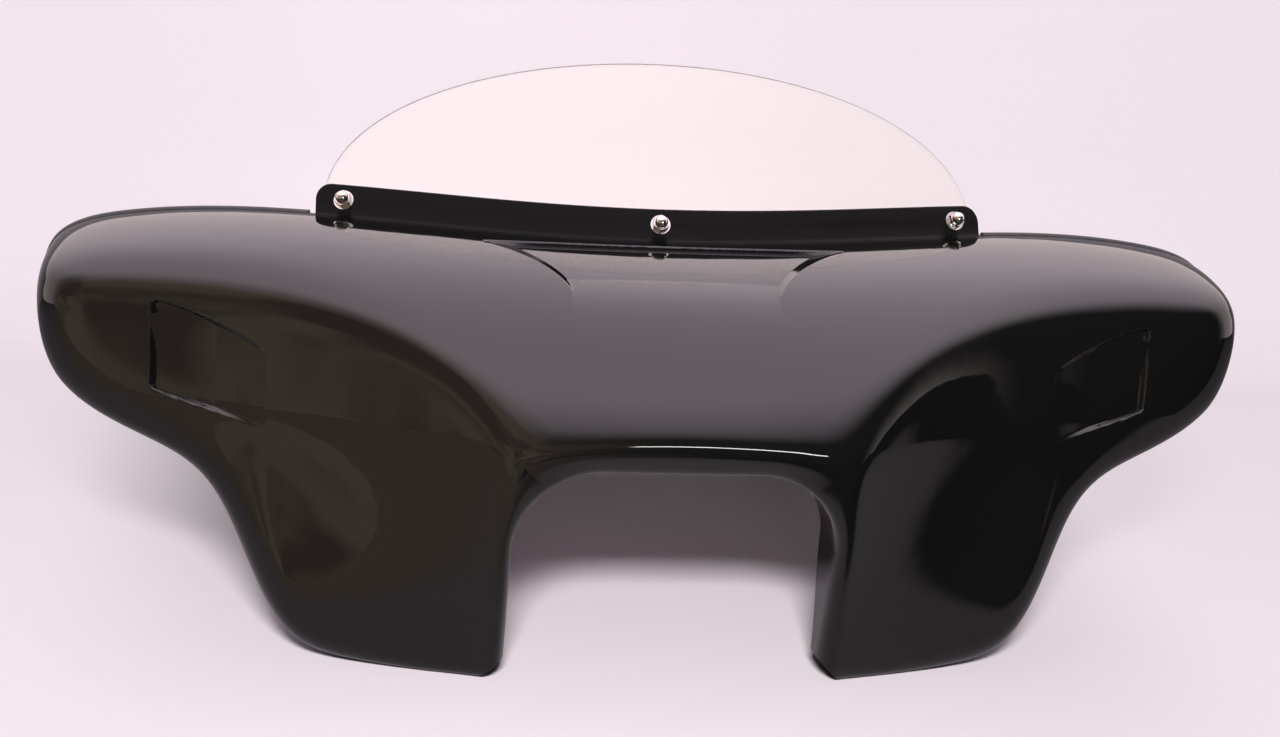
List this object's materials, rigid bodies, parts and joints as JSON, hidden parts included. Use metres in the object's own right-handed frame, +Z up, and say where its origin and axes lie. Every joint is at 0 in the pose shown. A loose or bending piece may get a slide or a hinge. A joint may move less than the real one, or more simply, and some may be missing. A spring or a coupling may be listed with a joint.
{
  "type": "motorcycle fairing",
  "caption": "Fork-mounted batwing motorcycle fairing: gloss moulded shell round a headlight cut-out, vent scoop, clear bolted windshield and a rear closing tray.",
  "frame": {"origin": "middle of the four fork bracket holes, on the faces that the brackets bear on", "axes": "+Z up, -Y the front with the headlight cut-out, +X across from wing to wing"},
  "size_m": [0.9196, 0.2862, 0.4293],
  "materials": {
    "shell": "gloss black",
    "tray": "satin black",
    "clear_screen": "clear, faintly warm",
    "rubber": "matt black",
    "bright": "polished",
    "steel": "zinc plated"
  },
  "bodies": {
    "root": {"outer_shell": "shell", "inner_tray": "tray", "windshield": "clear_screen", "windshield_gasket": "rubber", "edge_trim_right": "rubber", "edge_trim_left": "rubber", "windshield_bolts": "steel", "acorn_nuts": "bright", "nut_washers": "bright", "soft_washers": "rubber", "rim_screws": "steel", "rim_screw_nuts": "steel"}
  },
  "joints": []
}
